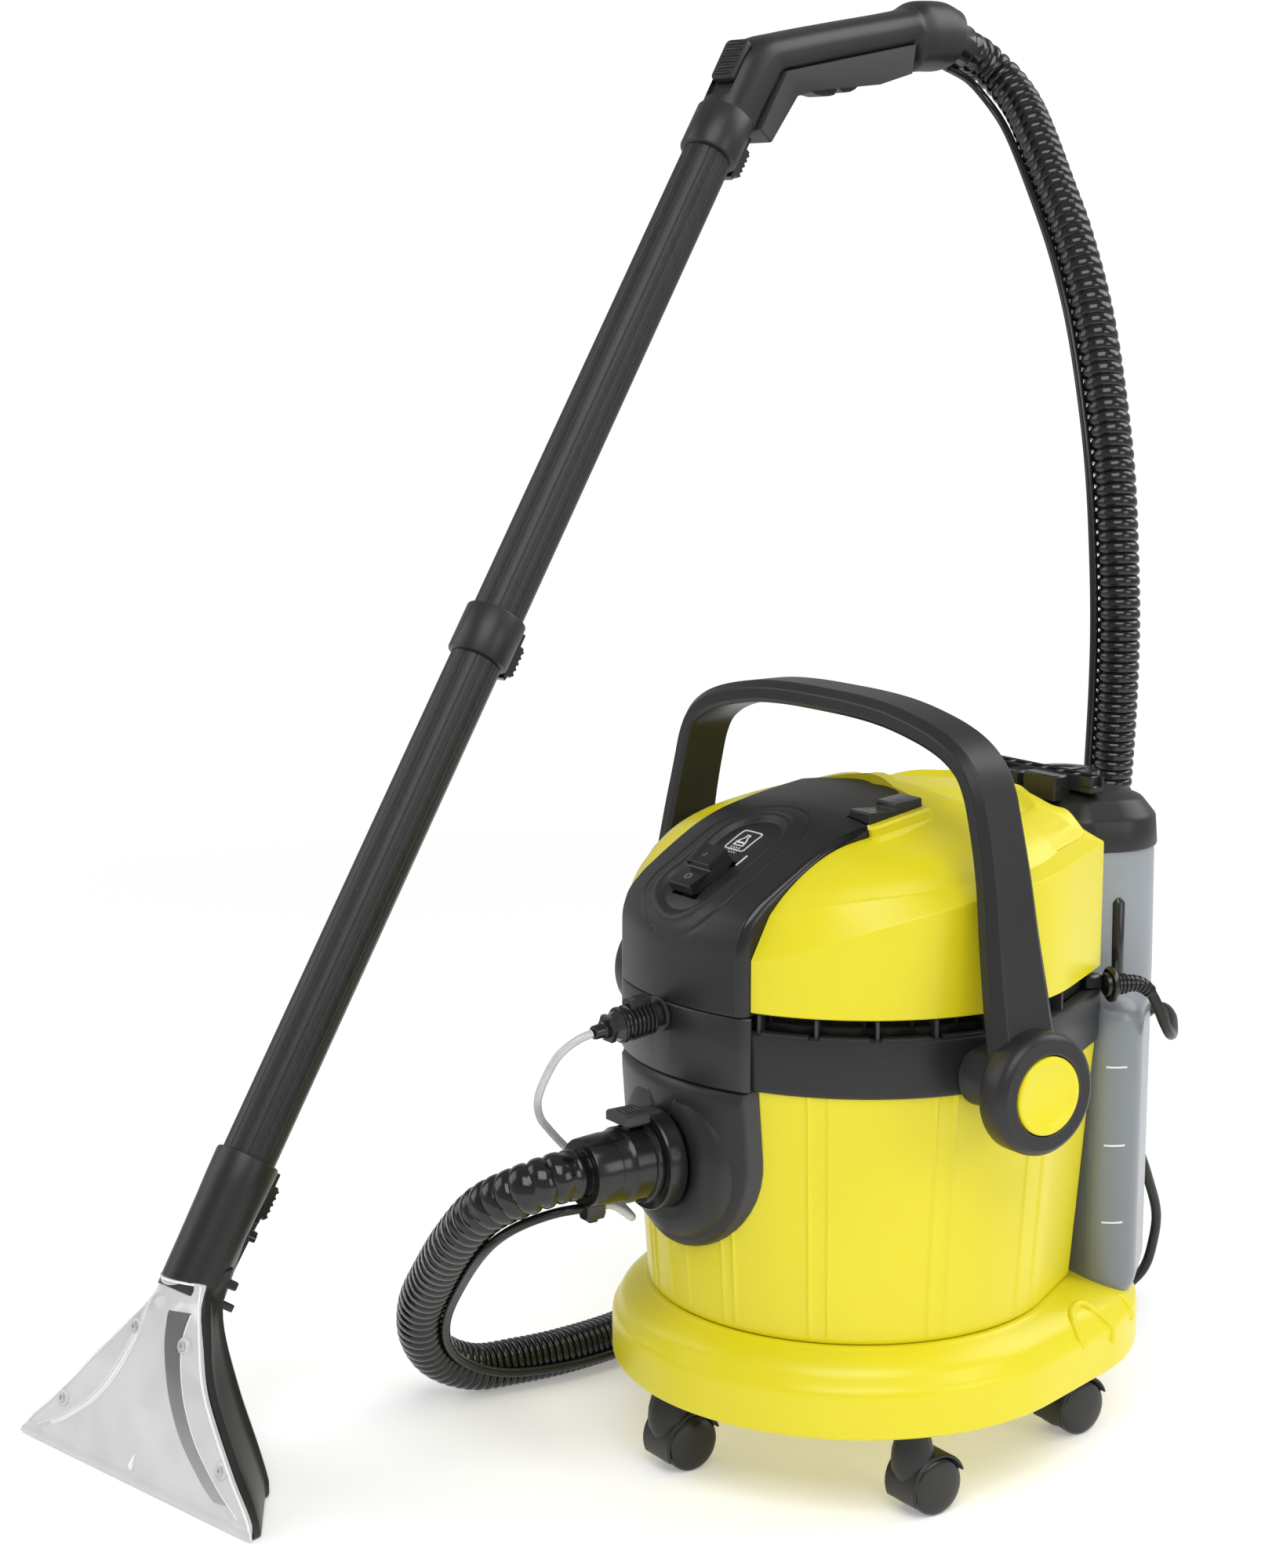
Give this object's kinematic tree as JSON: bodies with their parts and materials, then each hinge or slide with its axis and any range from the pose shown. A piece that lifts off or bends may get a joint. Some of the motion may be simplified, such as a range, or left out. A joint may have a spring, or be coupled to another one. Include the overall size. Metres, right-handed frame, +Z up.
{
  "type": "spot extractor",
  "caption": "Spray-extraction cleaner on swivel casters with a recovery drum, rear clean-water tank, ribbed suction hose, two-part wand with trigger grip and clear-fronted floor nozzle.",
  "frame": {"origin": "on the floor under the centre of the box round everything but the hose, water line, tube and mains lead", "axes": "+Z up, -Y towards the machine's front with its suction inlet, +X towards the power switch's side"},
  "size_m": [0.5559, 0.8685, 0.933],
  "materials": {
    "yellow_shell": "satin moulded",
    "satin_black": "fine grain",
    "gloss_black": "gloss",
    "motor_metal": "plain",
    "screw_steel": "bright",
    "seal_rubber": "matt",
    "float_white": "smooth",
    "hose_black": "gloss ribbed",
    "line_black": "smooth",
    "clear_tube": "clear",
    "lead_black": "satin",
    "tank_smoke": "translucent",
    "clear_window": "frosted clear"
  },
  "bodies": {
    "machine": {"base_ring": "yellow_shell", "drum": "yellow_shell", "inlet_housing": "satin_black", "rim_band": "satin_black", "head_cover": "yellow_shell", "console_panel": "satin_black", "console_mid": "satin_black", "spray_switch": "gloss_black", "power_switch": "gloss_black", "motor_plate": "satin_black", "motor_can": "motor_metal", "water_pump": "motor_metal", "float_cage": "yellow_shell", "drum_seal": "seal_rubber", "quick_socket": "gloss_black", "quick_connector": "gloss_black", "hose_coupling": "gloss_black", "suction_hose": "hose_black", "water_line": "line_black", "spray_tube": "clear_tube", "fresh_tank": "tank_smoke", "tank_cap": "satin_black", "tank_frame": "satin_black", "cable_gland": "gloss_black", "mains_lead": "lead_black", "mains_coil": "lead_black", "mains_plug": "lead_black", "nozzle_shell": "satin_black", "nozzle_window": "clear_window", "nozzle_screws": "screw_steel", "spray_jet": "gloss_black", "lower_tube": "satin_black", "upper_tube": "satin_black", "grip_upper": "satin_black", "grip_lower": "satin_black"},
    "handle": {"carry_handle": "satin_black", "hub_caps": "yellow_shell"},
    "spray_rocker": {"spray_rocker": "gloss_black"},
    "power_rocker": {"power_rocker": "gloss_black"},
    "trigger": {"spray_trigger": "gloss_black"},
    "slider": {"air_slider": "gloss_black"},
    "cuff": {"swivel_cuff": "gloss_black"},
    "tank_lid": {"tank_lid": "gloss_black"},
    "coupling_latch": {"coupling_latch": "gloss_black"},
    "latch_lower": {"latch_lower": "gloss_black"},
    "latch_middle": {"latch_middle": "gloss_black"},
    "latch_upper": {"latch_upper": "gloss_black"},
    "rotor": {"motor_rotor": "motor_metal"},
    "float_ball": {"float_ball": "float_white"},
    "caster_1": {"caster_fork_1": "satin_black"},
    "wheel_1": {"caster_wheel_1": "gloss_black"},
    "caster_2": {"caster_fork_2": "satin_black"},
    "wheel_2": {"caster_wheel_2": "gloss_black"},
    "caster_3": {"caster_fork_3": "satin_black"},
    "wheel_3": {"caster_wheel_3": "gloss_black"},
    "caster_4": {"caster_fork_4": "satin_black"},
    "wheel_4": {"caster_wheel_4": "gloss_black"},
    "caster_5": {"caster_fork_5": "satin_black"},
    "wheel_5": {"caster_wheel_5": "gloss_black"}
  },
  "joints": [
    {"name": "handle_swing", "type": "hinge", "parent": "machine", "child": "handle", "pos_m": [0.08092, 0.02047, 0.269], "axis": [1, 0, 0], "range_deg": [-30, 70]},
    {"name": "spray_rocker_tilt", "type": "hinge", "parent": "machine", "child": "spray_rocker", "pos_m": [0.08092, -0.08153, 0.376], "axis": [1, 0, 0], "range_deg": [0, 14]},
    {"name": "power_rocker_tilt", "type": "hinge", "parent": "machine", "child": "power_rocker", "pos_m": [0.13092, 0.01847, 0.405], "axis": [1, 0, 0], "range_deg": [0, 14]},
    {"name": "trigger_pull", "type": "hinge", "parent": "machine", "child": "trigger", "pos_m": [-0.21826, 0.20647, 0.864], "axis": [0.9781, 0.2079, 0], "range_deg": [0, 5], "stiffness_Nm_per_rad": 1.5, "springref_deg": -6.88},
    {"name": "slider_move", "type": "slide", "parent": "machine", "child": "slider", "axis": [-0.1148, 0.5399, 0.8339], "range_m": [-0.012, 0]},
    {"name": "cuff_swivel", "type": "hinge", "parent": "machine", "child": "cuff", "pos_m": [-0.2559, 0.38352, 0.9067], "axis": [-0.202, 0.9503, -0.2368], "continuous": true},
    {"name": "lid_pull", "type": "slide", "parent": "machine", "child": "tank_lid", "axis": [0, 0, 1], "range_m": [0, 0.03]},
    {"name": "coupling_latch_press", "type": "slide", "parent": "machine", "child": "coupling_latch", "axis": [0, 0, -1], "range_m": [0, 0.0025], "stiffness_N_per_m": 1500, "springref_m": -0.003},
    {"name": "latch_lower_lift", "type": "hinge", "parent": "machine", "child": "latch_lower", "pos_m": [-0.11278, -0.2898, 0.14458], "axis": [0.9781, 0.2079, 0], "range_deg": [-6, 0], "stiffness_Nm_per_rad": 2, "springref_deg": 5.73},
    {"name": "latch_middle_lift", "type": "hinge", "parent": "machine", "child": "latch_middle", "pos_m": [-0.158, -0.07703, 0.46587], "axis": [0.9781, 0.2079, 0], "range_deg": [-6, 0], "stiffness_Nm_per_rad": 2, "springref_deg": 5.73},
    {"name": "latch_upper_lift", "type": "hinge", "parent": "machine", "child": "latch_upper", "pos_m": [-0.20451, 0.14178, 0.79626], "axis": [0.9781, 0.2079, 0], "range_deg": [-6, 0], "stiffness_Nm_per_rad": 2, "springref_deg": 5.73},
    {"name": "rotor_spin", "type": "hinge", "parent": "machine", "child": "rotor", "pos_m": [0.08092, 0.06547, 0.33], "axis": [0, 0, 1], "continuous": true},
    {"name": "float_rise", "type": "slide", "parent": "machine", "child": "float_ball", "axis": [0, 0, 1], "range_m": [0, 0.03]},
    {"name": "caster_1_swivel", "type": "hinge", "parent": "machine", "child": "caster_1", "pos_m": [0.07157, -0.0982, 0.06], "axis": [0, 0, 1], "continuous": true},
    {"name": "wheel_1_roll", "type": "hinge", "parent": "caster_1", "child": "wheel_1", "pos_m": [0.07157, -0.0882, 0.018], "axis": [1, 0, 0], "continuous": true},
    {"name": "caster_2_swivel", "type": "hinge", "parent": "machine", "child": "caster_2", "pos_m": [0.20516, -0.01473, 0.06], "axis": [0, 0, 1], "continuous": true},
    {"name": "wheel_2_roll", "type": "hinge", "parent": "caster_2", "child": "wheel_2", "pos_m": [0.20516, -0.00473, 0.018], "axis": [1, 0, 0], "continuous": true},
    {"name": "caster_3_swivel", "type": "hinge", "parent": "machine", "child": "caster_3", "pos_m": [0.16705, 0.13812, 0.06], "axis": [0, 0, 1], "continuous": true},
    {"name": "wheel_3_roll", "type": "hinge", "parent": "caster_3", "child": "wheel_3", "pos_m": [0.16705, 0.14812, 0.018], "axis": [1, 0, 0], "continuous": true},
    {"name": "caster_4_swivel", "type": "hinge", "parent": "machine", "child": "caster_4", "pos_m": [0.00991, 0.14911, 0.06], "axis": [0, 0, 1], "continuous": true},
    {"name": "wheel_4_roll", "type": "hinge", "parent": "caster_4", "child": "wheel_4", "pos_m": [0.00991, 0.15911, 0.018], "axis": [1, 0, 0], "continuous": true},
    {"name": "caster_5_swivel", "type": "hinge", "parent": "machine", "child": "caster_5", "pos_m": [-0.04911, 0.00305, 0.06], "axis": [0, 0, 1], "continuous": true},
    {"name": "wheel_5_roll", "type": "hinge", "parent": "caster_5", "child": "wheel_5", "pos_m": [-0.04911, 0.01305, 0.018], "axis": [1, 0, 0], "continuous": true}
  ]
}
